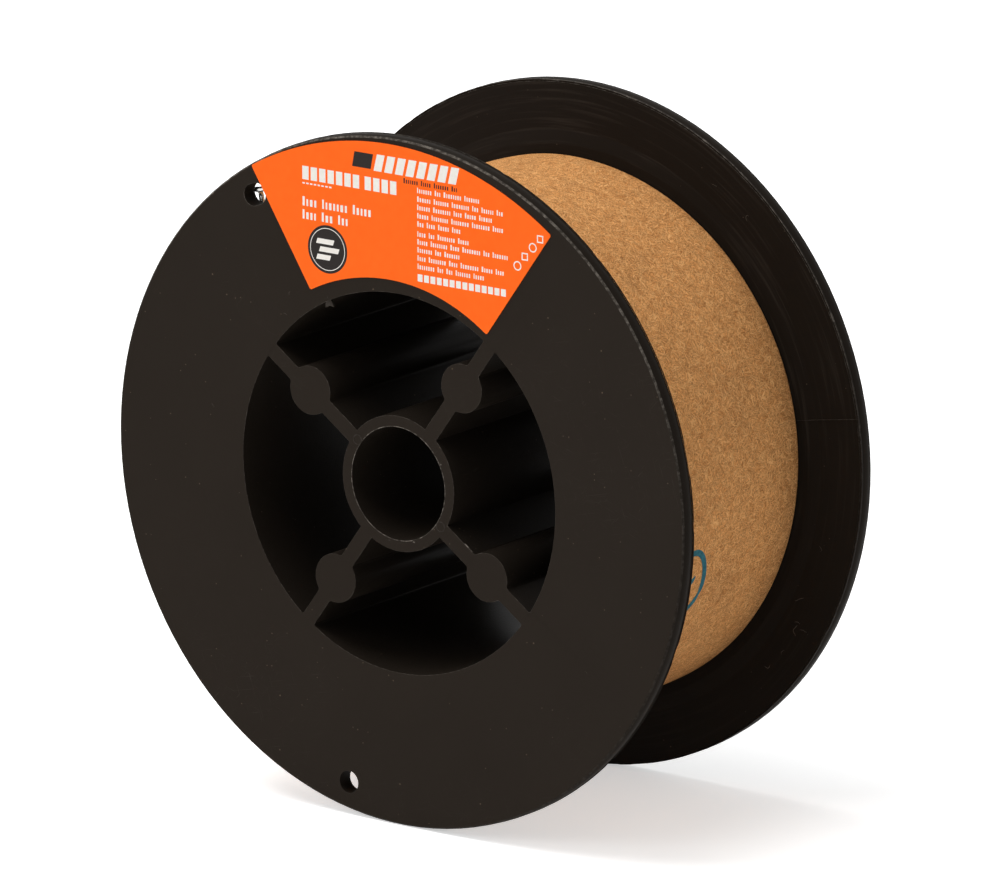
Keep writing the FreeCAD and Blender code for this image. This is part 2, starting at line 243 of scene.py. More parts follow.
black_plastic = plastic_material()
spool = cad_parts["spool_body"]
spool.material_slots[0].material = black_plastic
weld = spool.modifiers.new("weld", "WELD")
weld.merge_threshold = 0.001 * MM
soften = spool.modifiers.new("soften", "BEVEL")
soften.width = 0.12 * MM
soften.segments = 2
soften.limit_method = "ANGLE"
soften.angle_limit = math.radians(50)


def finish_mesh(mesh_maker, name, material, smooth=True):
    """Turn a bmesh into a piece that rides on the spool, with its faces outward."""
    bmesh.ops.remove_doubles(mesh_maker, verts=mesh_maker.verts, dist=1e-7)
    bmesh.ops.recalc_face_normals(mesh_maker, faces=mesh_maker.faces)
    for face in mesh_maker.faces:
        face.smooth = smooth
    mesh = bpy.data.meshes.new(name)
    mesh_maker.to_mesh(mesh)
    mesh_maker.free()
    item = bpy.data.objects.new(name, mesh)
    bpy.context.scene.collection.objects.link(item)
    dress(item, material)
    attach(item, "root")
    return item


# Two ejector pins left round marks on the front end of the hub tube.
# Each is a shallow raised ring in the same plastic.
PIN_MARKS = ((-7.25, 5.3), (7.5, -5.1))
PIN_RADIUS = 0.71 * MM
PIN_LINE = 0.07 * MM
PIN_RISE = 0.03 * MM
BORE_RADIUS = 8.25 * MM
BORE_MARGIN = 0.03 * MM
RUBBED_DARK = (0.022, 0.017, 0.013, 1)
SEAM_PALE = (0.040, 0.034, 0.028, 1)


def rubbed_plastic(name, pale):
    material, tree, shader = new_material(name)
    place = add_node(tree, "TexCoord").outputs["Object"]
    tone = cloud(tree, place, 1500.0, 3.0, 0.7)
    colour = fade(tree, ramp(tree, tone, 0.40, 0.68), RUBBED_DARK, pale)
    tree.links.new(colour, shader.inputs["Base Color"])
    shader.inputs["Roughness"].default_value = 0.5
    shader.inputs["Specular IOR Level"].default_value = 0.05
    return material


def pull_faces(mesh_maker, faces, way):
    """Pull faces out along a vector, with walls round them, and give the points pulled."""
    raised = bmesh.ops.extrude_face_region(mesh_maker, geom=faces)["geom"]
    pulled = [part for part in raised if isinstance(part, bmesh.types.BMVert)]
    bmesh.ops.translate(mesh_maker, verts=pulled, vec=way)
    return pulled


def ring_at(mesh_maker, centre, radius, line, rise, segments=40):
    """A flat ring on a face that looks along -Y, from the face's height to its rise."""
    made = bmesh.ops.create_circle(mesh_maker, segments=segments, radius=radius + line)
    outline = [edge for edge in mesh_maker.edges if edge.verts[0] in made["verts"]]
    upright_place = Matrix.Translation(centre) @ Matrix.Rotation(math.radians(90), 4, "X")
    bmesh.ops.transform(mesh_maker, matrix=upright_place, verts=made["verts"])
    inner = bmesh.ops.extrude_edge_only(mesh_maker, edges=outline)["geom"]
    inner_verts = [part for part in inner if isinstance(part, bmesh.types.BMVert)]
    shrink = (radius - line) / (radius + line)
    move = Matrix.Translation(centre) @ Matrix.Scale(shrink, 4) @ Matrix.Translation(-Vector(centre))
    bmesh.ops.transform(mesh_maker, matrix=move, verts=inner_verts)
    faces = [part for part in inner if isinstance(part, bmesh.types.BMFace)]
    pull_faces(mesh_maker, faces, (0, -rise, 0))


seam_plastic = rubbed_plastic("seam_black_plastic", SEAM_PALE)
pins = bmesh.new()
for pin_x, pin_z in PIN_MARKS:
    ring_at(pins, (pin_x * MM, -FLANGE_FACE, pin_z * MM), PIN_RADIUS, PIN_LINE, PIN_RISE)
for vert in pins.verts:
    reach = math.hypot(vert.co.x, vert.co.z)
    if reach < BORE_RADIUS + BORE_MARGIN:
        stay = (BORE_RADIUS + BORE_MARGIN) / reach
        vert.co = (vert.co.x * stay, vert.co.y, vert.co.z * stay)
finish_mesh(pins, "ejector_marks", seam_plastic, smooth=False)


# Moulding flash stands up in broken stretches round the edge of the bore, and a few
# torn burrs and a small flap were left where the gates were trimmed, in the same plastic.
FLASH_RING = ((8.27, -22.50), (8.27, -22.54), (8.36, -22.50))
FLASH_PEAKS = (math.radians(40), math.radians(238))
FLASH_STEPS = 300
BURRS = ((-12.45, 25.2, 0.22, 0.10, 60), (13.1, -7.85, 0.20, 0.12, 0), (12.5, -7.35, 0.93, 0.07, 35.4),
         (7.6, 4.0, 0.2, 0.12, 0), (-1.5, -8.5, 0.22, 0.13, 0), (2.8, -8.1, 0.2, 0.12, 0))
BURR_RISE = 0.04 * MM
FLAP = ((-12.5, 25.5), (-13.0, 24.5), (-13.0, 23.7), (-12.2, 24.1), (-11.5, 24.0), (-12.0, 24.9), (-11.7, 25.6))
FLAP_DEPTH = 0.1 * MM
FLAP_THICKNESS = 0.25 * MM
TORN_PALE = (0.230, 0.204, 0.174, 1)


def closed_line(mesh_maker, points):
    """A closed line of edges through the points."""
    verts = [mesh_maker.verts.new(point) for point in points]
    edges = [mesh_maker.edges.new(pair) for pair in zip(verts, verts[1:] + verts[:1])]
    return verts, edges


def spin_section(mesh_maker, points, steps, sweep=math.tau):
    """Turn a closed half section round the spool's axis, from +Z towards -X."""
    verts, edges = closed_line(mesh_maker, [(0, depth, height) for depth, height in points])
    whole = sweep == math.tau
    bmesh.ops.spin(
        mesh_maker,
        geom=verts + edges,
        cent=(0, 0, 0),
        axis=(0, -1, 0),
        angle=sweep,
        steps=steps,
        use_merge=whole,
    )
    if not whole:
        bmesh.ops.holes_fill(mesh_maker, edges=mesh_maker.edges, sides=0)


torn_plastic = rubbed_plastic("torn_black_plastic", TORN_PALE)
bore_flash = bmesh.new()
spin_section(bore_flash, [(depth * MM, reach * MM) for reach, depth in FLASH_RING], FLASH_STEPS)
for vert in bore_flash.verts:
    angle = math.atan2(vert.co.z, vert.co.x)
    near = max(math.cos(angle - peak) for peak in FLASH_PEAKS)
    fine = noise.noise(Vector((math.cos(angle) * 22, math.sin(angle) * 22, 5)))
    stretch = max(0.1, min(max(8 * (near - 0.82), 0.1), 1.0) + 0.7 * fine)
    vert.co.y = -FLANGE_FACE + (vert.co.y + FLANGE_FACE) * stretch
finish_mesh(bore_flash, "bore_flash", torn_plastic)

burrs = bmesh.new()
for burr_x, burr_z, half_length, half_width, turn in BURRS:
    place = Matrix.Translation((burr_x * MM, -FLANGE_FACE, burr_z * MM))
    place = place @ Matrix.Rotation(math.radians(turn), 4, "Y")
    place = place @ Matrix.Diagonal((half_length * MM, BURR_RISE, half_width * MM, 1))
    lump = bmesh.ops.create_icosphere(burrs, subdivisions=3, radius=1.0, matrix=place)
    for vert in lump["verts"]:
        rough = noise.noise(vert.co / (0.16 * MM))
        vert.co += Vector((rough, 0.2 * rough, -rough)) * half_width * 0.5 * MM
finish_mesh(burrs, "trimmed_burrs", torn_plastic, smooth=False)

flap = bmesh.new()
flap_face = -FLANGE_FACE + FLAP_DEPTH
_, edges = closed_line(flap, [(flap_x * MM, flap_face, flap_z * MM) for flap_x, flap_z in FLAP])
faces = bmesh.ops.contextual_create(flap, geom=edges)["faces"]
pull_faces(flap, faces, (0, FLAP_THICKNESS, 0))
finish_mesh(flap, "torn_flap", seam_plastic, smooth=False)


# The two halves of each rim met at its inner corner, which kept a sharp lip of flash.
# It is the same black plastic, paler along its edge from the plastic's painted highlight and wear, and nicked
# in a few places.
LIP_SECTION = ((49.96, 20.0), (50.17, 20.01), (50.235, 20.09), (50.235, 20.27))
LIP_STEPS = 720
LIP_FACE = 20.1 * MM
LIP_START = 50.0 * MM
NICK_DEPTH = 0.10 * MM

rim_lips = bmesh.new()
for side in (-1, 1):
    spin_section(rim_lips, [(side * depth * MM, reach * MM) for reach, depth in LIP_SECTION], LIP_STEPS)
for vert in rim_lips.verts:
    reach = math.hypot(vert.co.x, vert.co.z)
    if abs(vert.co.y) > LIP_FACE or reach < LIP_START:
        continue
    angle = math.atan2(vert.co.z, vert.co.x)
    tooth = noise.noise(Vector((math.cos(angle) * 19, math.sin(angle) * 19, round(vert.co.y / MM))))
    reach -= NICK_DEPTH * min(max(3.5 * (tooth - 0.22), 0.0), 1.0)
    vert.co = (reach * math.cos(angle), vert.co.y, reach * math.sin(angle))
finish_mesh(rim_lips, "rim_lips", black_plastic)


# The mould opened sideways round the barrel, so a fine raised line of flash
# runs from the paper to the rim on the inner face of both flanges, on both sides.
PARTING_ANGLE = 9.6
FLASH_WIDTH = 0.10 * MM
FLASH_LINE = ((39.6, 19.7), (41.0, 19.7), (43.0, 20.0), (50.1, 20.0))
FLASH_RISE = 0.05

flash = bmesh.new()
for side in (-1, 1):
    for turn in (PARTING_ANGLE, PARTING_ANGLE + 180):
        raised = [(reach, depth - FLASH_RISE) for reach, depth in reversed(FLASH_LINE)]
        section = [
            (reach * MM, side * depth * MM, -FLASH_WIDTH / 2)
            for reach, depth in (*FLASH_LINE, *raised)
        ]
        corners, edges = closed_line(flash, section)
        faces = bmesh.ops.contextual_create(flash, geom=edges)["faces"]
        pulled = pull_faces(flash, faces, (0, 0, FLASH_WIDTH))
        place = Matrix.Rotation(-math.radians(turn), 4, "Y")
        bmesh.ops.transform(flash, matrix=place, verts=corners + pulled)
finish_mesh(flash, "parting_flash", seam_plastic, smooth=False)


# The welding wire is wound layer on layer, turn beside turn. Its top layer stops short
# of both flanges. Only the turns at the edges of the paper can be seen.
WIRE_RADIUS = 0.4 * MM
WOUND_RADIUS = 39.11 * MM
WOUND_START = 29.85 * MM
WOUND_SIDE = 19.6 * MM
SHOULDER_FOOT = 18.7 * MM
SHOULDER_TOP = 14.7 * MM
SHOULDER_DROP = 0.2 * MM
TURN_SEGMENTS = 5
ROUND_STEPS = 144


def shoulder(depth):
    """How far the winding has dropped at a depth along the axis."""
    share = (abs(depth) - SHOULDER_TOP) / (SHOULDER_FOOT - SHOULDER_TOP)
    return SHOULDER_DROP * min(max(share, 0.0), 1.0)


def wire_material():
    material, tree, shader = new_material("bright_drawn_wire")
    place = add_node(tree, "TexCoord").outputs["Object"]
    tone = cloud(tree, place, 900.0, 2.0)
    colour = fade(tree, tone, (0.50, 0.49, 0.47, 1), (0.70, 0.69, 0.66, 1))
    tree.links.new(colour, shader.inputs["Base Color"])
    shader.inputs["Metallic"].default_value = 1.0
    tree.links.new(calc(tree, "ADD", 0.16, calc(tree, "MULTIPLY", tone, 0.16)), shader.inputs["Roughness"])
    return material


def turn_outline():
    """Half section of the winding: a bump for each turn along its top and both sides."""
    count = round((WOUND_SIDE - WIRE_RADIUS) / WIRE_RADIUS) + 1
    layers = int((WOUND_RADIUS - SHOULDER_DROP - WOUND_START) / (2 * WIRE_RADIUS))
    outline = []
    for layer in range(layers):
        height = WOUND_START + WIRE_RADIUS * (2 * layer + 1)
        outline += bump(-WOUND_SIDE + WIRE_RADIUS, height, 270, 90)
    for index in range(count):
        depth = -WOUND_SIDE + WIRE_RADIUS * (2 * index + 1)
        height = WOUND_RADIUS - shoulder(depth) - WIRE_RADIUS
        outline += bump(depth, height, 180, 0)
    for layer in reversed(range(layers)):
        height = WOUND_START + WIRE_RADIUS * (2 * layer + 1)
        outline += bump(WOUND_SIDE - WIRE_RADIUS, height, 90, -90)
    return outline


def bump(depth, height, start, end):
    """Half of one turn's section, from a start angle to an end angle."""
    points = []
    for step in range(TURN_SEGMENTS + 1):
        angle = math.radians(start + (end - start) * step / TURN_SEGMENTS)
        points.append((depth + WIRE_RADIUS * math.cos(angle), height + WIRE_RADIUS * math.sin(angle)))
    return points


bright_wire = wire_material()
winding = bmesh.new()
spin_section(winding, turn_outline(), ROUND_STEPS)
wound_wire = finish_mesh(winding, "wound_wire", bright_wire)
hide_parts("wire_coil")


# Brown kraft paper is wrapped round the wire to keep it clean. It is pushed against the
# back flange, rolls down at both edges, and its loose end is lapped over underneath.
PAPER_THICKNESS = 0.4 * MM
PAPER_LIFT = 0.1 * MM
PAPER_FRONT = -18.7 * MM
PAPER_BACK = 19.5 * MM
PAPER_ROWS = 60
PAPER_STEPS = 288
LAP_THICKNESS = 0.15 * MM
LAP_START = 220.0
LAP_SWEEP = 32.0
LAP_STEPS = 48


def paper_height(angle, depth):
    """Outer radius of the paper, which lies a little loose and is never quite round."""
    around = Vector((math.cos(angle), math.sin(angle), 0))
    wave = noise.noise(around * 1.3 + Vector((4, 0, depth / (60 * MM))))
    ripple = noise.noise(around * 5 + Vector((0, 0, depth / (9 * MM) + 7)))
    from_edge = min(depth - PAPER_FRONT, PAPER_BACK - depth)
    fall = max(1 - from_edge / (3.5 * MM), 0) ** 2
    curl = max(1 - from_edge / (0.5 * MM), 0) ** 2
    height = WOUND_RADIUS + PAPER_LIFT + PAPER_THICKNESS + 0.26 * MM * wave + 0.04 * MM * ripple
    return height - 0.16 * MM * fall - 0.12 * MM * curl


def paper_band(low, high, sweep=math.tau, steps=PAPER_STEPS):
    """A band of paper as a closed solid, flat between two heights over the wire."""
    band = bmesh.new()
    rows = []
    for row in range(PAPER_ROWS + 1):
        share = math.sin((row / PAPER_ROWS - 0.5) * math.pi)
        rows.append((PAPER_FRONT + PAPER_BACK) / 2 + share * (PAPER_BACK - PAPER_FRONT) / 2)
    under = [(depth, WOUND_RADIUS + low) for depth in rows]
    over = [(depth, WOUND_RADIUS + high) for depth in reversed(rows)]
    spin_section(band, under + over, steps, sweep)
    return band


def lay_on_wire(band, low, high, start=None):
    """Bring a flat band to the paper's real height and give its edges their slack."""
    for vert in band.verts:
        angle = math.atan2(vert.co.z, vert.co.x)
        share = (math.hypot(vert.co.x, vert.co.z) - WOUND_RADIUS - low) / (high - low)
        height = paper_height(angle, vert.co.y) + low + share * (high - low) - PAPER_THICKNESS
        if start is not None:
            passed = (math.degrees(angle) - start) % 360 / LAP_SWEEP
            height -= LAP_THICKNESS * 1.4 * max(1 - passed * 2.5, 0) ** 2
        slack = noise.noise(Vector((math.cos(angle) * 3, math.sin(angle) * 3, 3)))
        near = max(1 - (vert.co.y - PAPER_FRONT) / (3 * MM), 0)
        depth = vert.co.y + near * 0.14 * MM * (slack + 0.9)
        vert.co = (height * math.cos(angle), depth, height * math.sin(angle))


FIBRE_LENGTH = 1.9 * MM
FIBRE_WIDTH = 0.125 * MM
FIBRE_TURNS = 6
FIBRE_DARK = (0.22, 0.084, 0.024, 1)
FIBRE_PALE = (0.98, 0.54, 0.215, 1)
KRAFT_DARK = (0.51, 0.206, 0.058, 1)
KRAFT_LIGHT = (0.67, 0.288, 0.090, 1)
KRAFT_PALE_GRAIN = (0.84, 0.390, 0.128, 1)
KRAFT_DARK_GRAIN = (0.26, 0.105, 0.030, 1)
KRAFT_BLOTCH_AND_SHADE = (0.22, 0.095, 0.032, 1)
KRAFT_FLECK = (0.14, 0.07, 0.03, 1)


def unroll(item):
    """A UV map in metres: along the paper, and across it."""
    layer = item.data.uv_layers.new(name="unrolled")
    for polygon in item.data.polygons:
        middle = math.atan2(polygon.center.z, polygon.center.x)
        for index in polygon.loop_indices:
            co = item.data.vertices[item.data.loops[index].vertex_index].co
            angle = math.atan2(co.z, co.x)
            angle += math.tau * round((middle - angle) / math.tau)
            layer.data[index].uv = (angle * WOUND_RADIUS, co.y)


def kraft_material():
    material, tree, shader = new_material("brown_kraft_paper")
    flat = add_node(tree, "UVMap", uv_map="unrolled").outputs[0]
    place = add_node(tree, "TexCoord").outputs["Object"]
    tone = cloud(tree, place, 130.0, 4.0, 0.6)
    mottle = cloud(tree, place, 1100.0, 3.0, 0.65)
    speckle = cloud(tree, place, 3400.0, 3.0, 0.75)
    share = calc(tree, "ADD", calc(tree, "MULTIPLY", tone, 0.45), calc(tree, "MULTIPLY", mottle, 0.55))
    colour = fade(tree, ramp(tree, share, 0.32, 0.68), KRAFT_DARK, KRAFT_LIGHT)
    colour = fade(tree, ramp(tree, speckle, 0.40, 0.62, 0.0, 0.85), colour, KRAFT_PALE_GRAIN)
    colour = fade(tree, ramp(tree, speckle, 0.34, 0.46, 0.45, 0.0), colour, KRAFT_DARK_GRAIN)
    blotch = ramp(tree, cloud(tree, place, 90.0, 3.0, 0.6), 0.52, 0.72, 0.0, 0.26)
    _, depth, height_above = add_node(tree, "SeparateXYZ", {0: place}).outputs
    # Painted shade: the paper darkens towards the back flange, where the flange shades it, and less so towards
    # the top.
    flange_shade = ramp(tree, depth, PAPER_BACK - 7 * MM, PAPER_BACK, 0.0, 0.42)
    flange_shade = calc(tree, "MULTIPLY", flange_shade, ramp(tree, height_above, 5 * MM, 36 * MM, 1.0, 0.1))
    colour = fade(tree, calc(tree, "MAXIMUM", blotch, flange_shade), colour, KRAFT_BLOTCH_AND_SHADE)
    curls = add_node(tree, "TexNoise", {"Vector": flat, "Scale": 520.0, "Detail": 1.0}).outputs["Color"]
    bend = add_node(tree, "VectorMath", {0: curls, 1: (0.5, 0.5, 0.5)}, operation="SUBTRACT").outputs[0]
    bend = add_node(tree, "VectorMath", {0: bend, "Scale": 1.6 * MM}, operation="SCALE").outputs[0]
    flat_bent = add_node(tree, "VectorMath", {0: flat, 1: bend}).outputs[0]
    dark = light = None
    for index in range(FIBRE_TURNS):
        turn = 0.52 * index + 0.2
        size = (FIBRE_LENGTH * (1 + 0.18 * (index % 3)), FIBRE_WIDTH * (1 + 0.15 * (index % 2)), 1.0)
        slid = add_node(tree, "VectorMath", {0: flat_bent, 1: (0.11 * index, 0.07 * index, 0)}).outputs[0]
        lines = streaks(tree, slid, (0, 0, turn), size, 0.61, 0.67)
        glints = streaks(tree, slid, (0, 0, turn + 1.1), size, 0.61, 0.67)
        dark = lines if dark is None else calc(tree, "MAXIMUM", dark, lines)
        light = glints if light is None else calc(tree, "MAXIMUM", light, glints)
    colour = fade(tree, calc(tree, "MULTIPLY", dark, 0.55), colour, FIBRE_DARK)
    colour = fade(tree, calc(tree, "MULTIPLY", light, 0.64), colour, FIBRE_PALE)
    flecks = specks(tree, place, 520.0, 0.10, 0.09)
    colour = fade(tree, calc(tree, "MULTIPLY", flecks, 0.6), colour, KRAFT_FLECK)
    tree.links.new(colour, shader.inputs["Base Color"])
    shader.inputs["Roughness"].default_value = 0.85
    shader.inputs["Specular IOR Level"].default_value = 0.10
    height = calc(tree, "ADD", mottle, calc(tree, "MULTIPLY", calc(tree, "SUBTRACT", light, dark), 0.5))
    height = calc(tree, "ADD", height, calc(tree, "MULTIPLY", speckle, 0.5))
    relief = add_node(tree, "Bump", {"Height": height, "Strength": 0.85, "Distance": 0.08 * MM})
    tree.links.new(relief.outputs[0], shader.inputs["Normal"])
    return material


kraft_paper = kraft_material()
band = paper_band(0.0, PAPER_THICKNESS)
lay_on_wire(band, 0.0, PAPER_THICKNESS)
paper_wrap = finish_mesh(band, "paper_wrap", kraft_paper)
unroll(paper_wrap)
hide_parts("kraft_wrap")

lap_low, lap_high = PAPER_THICKNESS / 2, PAPER_THICKNESS + LAP_THICKNESS
lap = paper_band(lap_low, lap_high, math.radians(LAP_SWEEP), LAP_STEPS)
turn_to_start = Matrix.Rotation(math.radians(90 - LAP_START), 4, "Y")
bmesh.ops.transform(lap, matrix=turn_to_start, verts=lap.verts)
lay_on_wire(lap, lap_low, lap_high, LAP_START)
paper_lap = finish_mesh(lap, "paper_lap", kraft_paper)
unroll(paper_lap)


# Someone has drawn on the paper with a teal marker: a ring with two short ticks in it.
# The ink lies in the paper's surface and follows it. It is a plain mark, no letter.
INK_LIFT = 0.03 * MM
PEN_CENTRE = (-13.0 * MM, -4.5 * MM)
PEN_REACH = (4.9 * MM, 3.8 * MM)
PEN_STEPS = 72
PEN_WIDTH = 0.95 * MM
TICK_WIDTH = 0.75 * MM
STROKE_THICKNESS = 0.02 * MM
TICKS = (((-10.0, -5.9), (-10.9, -4.4), (-12.1, -5.7)), ((-11.7, -3.0), (-12.9, -4.0), (-13.8, -5.6)))


def stroke(mesh_maker, line, width, thickness):
    """A drawn stroke along a line of flat points, as a thin closed sheet with tapered ends."""
    left = []
    shifts = []
    for index, point in enumerate(line):
        before, after = line[max(index - 1, 0)], line[min(index + 1, len(line) - 1)]
        ahead = Vector((after[0] - before[0], after[1] - before[1], 0)).normalized()
        aside = Vector((-ahead.y, ahead.x, 0))
        taper = min(index, len(line) - 1 - index, 3) / 3
        half = width * (0.35 + 0.65 * taper) / 2
        left.append(mesh_maker.verts.new(Vector((*point, 0)) - aside * half))
        shifts.append(aside * half * 2)
    edges = [mesh_maker.edges.new(pair) for pair in zip(left, left[1:])]
    made = bmesh.ops.extrude_edge_only(mesh_maker, edges=edges)["geom"]
    right = [part for part in made if isinstance(part, bmesh.types.BMVert)]
    for vert in right:
        partner = min(left, key=lambda other: (other.co - vert.co).length)
        vert.co = partner.co + shifts[left.index(partner)]
    faces = [part for part in made if isinstance(part, bmesh.types.BMFace)]
    bmesh.ops.solidify(mesh_maker, geom=faces, thickness=thickness)


def smooth_line(points, steps):
    """A soft curve through given points."""
    line = []
    ends = [points[0], *points, points[-1]]
    for before, start, end, after in zip(ends, ends[1:], ends[2:], ends[3:]):
        for step in range(steps):
            t = step / steps
            weights = (
                (-t + 2 * t * t - t ** 3) / 2,
                (2 - 5 * t * t + 3 * t ** 3) / 2,
                (t + 4 * t * t - 3 * t ** 3) / 2,
                (-t * t + t ** 3) / 2,
            )
            knots = (before, start, end, after)
            line.append(tuple(sum(w * k[axis] for w, k in zip(weights, knots)) for axis in (0, 1)))
    return line + [points[-1]]


def pen_material():
    material, tree, shader = new_material("teal_marker_ink")
    place = add_node(tree, "TexCoord").outputs["Object"]
    tone = cloud(tree, place, 1900.0, 3.0, 0.7)
    colour = fade(tree, ramp(tree, tone, 0.3, 0.7), (0.010, 0.070, 0.095, 1), (0.030, 0.155, 0.185, 1))
    tree.links.new(colour, shader.inputs["Base Color"])
    shader.inputs["Roughness"].default_value = 0.7
    shader.inputs["Specular IOR Level"].default_value = 0.15
    return material


pen = bmesh.new()
ring = []
for step in range(PEN_STEPS):
    turn = math.tau * (step / (PEN_STEPS - 1) * 1.03 + 0.30)
    wobble = 1 + 0.05 * math.sin(3 * turn + 1) + 0.03 * step / PEN_STEPS
    ring.append((
        PEN_CENTRE[0] + PEN_REACH[0] * wobble * math.cos(turn),
        PEN_CENTRE[1] + PEN_REACH[1] * wobble * math.sin(turn),
    ))
stroke(pen, ring, PEN_WIDTH, STROKE_THICKNESS)
for tick in TICKS:
    stroke(pen, smooth_line([(a * MM, b * MM) for a, b in tick], 6), TICK_WIDTH, STROKE_THICKNESS)
for vert in pen.verts:
    angle = vert.co.x / (WOUND_RADIUS + PAPER_THICKNESS)
    height = paper_height(angle, vert.co.y) + INK_LIFT + vert.co.z
    vert.co = (height * math.cos(angle), vert.co.y, height * math.sin(angle))
finish_mesh(pen, "pen_mark", pen_material())


# The free end of the wire comes up behind the labelled flange and is hooked into its slot.
# It is the same bright wire as the coil.
wire_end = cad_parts["wire_end"]
wire_end.material_slots[0].material = bright_wire


# The label is an orange paper sticker with a satin print, stuck on the flange by hand.
# Its print here is plain bars, blocks and a ring badge.
LABEL_FACE = -FLANGE_FACE - 0.12 * MM
INK_THICKNESS = 0.008 * MM


def label_material():
    material, tree, shader = new_material("orange_label_paper")
    place = add_node(tree, "TexCoord").outputs["Object"]
    tone = cloud(tree, place, 700.0, 3.0, 0.6)
    colour = fade(tree, tone, (0.96, 0.120, 0.005, 1), (1.0, 0.144, 0.010, 1))
    tree.links.new(colour, shader.inputs["Base Color"])
    shader.inputs["Roughness"].default_value = 0.55
    shader.inputs["Specular IOR Level"].default_value = 0.10
    relief = add_node(tree, "Bump", {"Height": tone, "Strength": 0.15, "Distance": 0.02 * MM})
    tree.links.new(relief.outputs[0], shader.inputs["Normal"])
    return material


def ink_material(name, colour):
    material, tree, shader = new_material(name)
    place = add_node(tree, "TexCoord").outputs["Object"]
    tone = cloud(tree, place, 2400.0, 2.0)
    worn = tuple(channel * 0.88 for channel in colour[:3]) + (1,)
    tree.links.new(fade(tree, tone, worn, colour), shader.inputs["Base Color"])
    shader.inputs["Roughness"].default_value = 0.55
    shader.inputs["Specular IOR Level"].default_value = 0.10
    return material


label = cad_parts["label"]
label.material_slots[0].material = label_material()


def block(mesh_maker, left, bottom, width, height, slant=0.0):
    """A flat printed block on the label, in mm, leaning by its slant."""
    centre = Vector(((left + width / 2) * MM, LABEL_FACE - INK_THICKNESS / 2, (bottom + height / 2) * MM))
    lean = Matrix.Identity(4)
    lean[0][2] = slant
    size = Matrix.Diagonal((width * MM, INK_THICKNESS, height * MM, 1))
    bmesh.ops.create_cube(mesh_maker, size=1.0, matrix=Matrix.Translation(centre) @ lean @ size)


def small_print(mesh_maker, left, bottom, right, height, seed):
    """A line of small print, shown only as groups of fine upright dashes."""
    draw = random.Random(seed)
    start = left
    while start < right - height:
        for dash in range(draw.randint(3, 8)):
            if start > right:
                break
            tall = height * (1.0 if dash == 0 else 0.74)
            wide = height * draw.uniform(0.20, 0.34)
            block(mesh_maker, start, bottom, wide, tall)
            start += wide + height * 0.24
        start += height * 0.55


def disc_at(mesh_maker, centre, radius, rise):
    """A printed disc on a face that looks along -Y."""
    place = Matrix.Translation(centre) @ Matrix.Rotation(math.radians(90), 4, "X")
    disc = bmesh.ops.create_circle(mesh_maker, cap_ends=True, segments=72, radius=radius, matrix=place)
    faces = list({face for vert in disc["verts"] for face in vert.link_faces})
    pull_faces(mesh_maker, faces, (0, -rise, 0))


BADGE = (-12.3, 32.7)
STUCK_ASKEW = Matrix.Translation((0.1 * MM, 0, -0.29 * MM)) @ Matrix.Rotation(math.radians(-0.44), 4, "Y")
COLUMN = ((43.2, 14.6), (41.95, 19.6), (40.75, 17.0), (39.55, 18.6), (38.35, 11.2),
          (36.9, 12.9), (35.75, 19.8), (34.6, 11.8), (33.4, 18.8), (32.2, 15.2))
white_ink = ink_material("white_ink", (0.86, 0.82, 0.76, 1))
white_print = bmesh.new()
for index in range(8):
    block(white_print, -3.7 + index * 1.88, 45.35, 1.38, 2.45, slant=0.25)
for start, count in ((-16.7, 7), (-5.6, 4)):
    for index in range(count):
        block(white_print, start + index * 1.5, 42.35, 1.12, 1.95)
for index in range(8):
    block(white_print, -16.7 + index * 0.68, 41.7, 0.42, 0.22)
small_print(white_print, -16.7, 38.5, -4.3, 1.35, 3)
small_print(white_print, -16.7, 36.6, -7.5, 1.35, 4)
for index, (bottom, right) in enumerate(COLUMN):
    small_print(white_print, 3.7, bottom, right, 0.78, 10 + index)
for index in range(14):
    block(white_print, 3.7 + index * 1.13, 30.4, 0.85, 1.05)
for centre_x, centre_z in ((21.3, 35.2), (24.0, 38.2)):
    ring_at(white_print, (centre_x * MM, LABEL_FACE, centre_z * MM), 0.6 * MM, 0.09 * MM, INK_THICKNESS)
for centre_x, centre_z in ((22.6, 36.7), (25.3, 39.6)):
    for left, bottom, width, height in ((-0.55, -0.55, 1.1, 0.18), (-0.55, 0.37, 1.1, 0.18)):
        block(white_print, centre_x + left, centre_z + bottom, width, height)
    for left in (-0.55, 0.37):
        block(white_print, centre_x + left, centre_z - 0.37, 0.18, 0.74)
badge_face = LABEL_FACE - INK_THICKNESS
badge_centre = (BADGE[0] * MM, badge_face, BADGE[1] * MM)
ring_at(white_print, badge_centre, 3.05 * MM, 0.05 * MM, INK_THICKNESS)
bmesh.ops.transform(white_print, matrix=STUCK_ASKEW, verts=white_print.verts)
finish_mesh(white_print, "label_print_white", white_ink, smooth=False)

dark_ink = ink_material("dark_ink", (0.022, 0.018, 0.016, 1))
dark_print = bmesh.new()
block(dark_print, -7.6, 45.5, 3.3, 2.2, slant=0.2)
small_print(dark_print, 1.3, 44.3, 11.0, 0.75, 6)
disc_at(dark_print, (BADGE[0] * MM, LABEL_FACE, BADGE[1] * MM), 3.5 * MM, INK_THICKNESS)
bmesh.ops.transform(dark_print, matrix=STUCK_ASKEW, verts=dark_print.verts)
finish_mesh(dark_print, "label_print_dark", dark_ink, smooth=False)

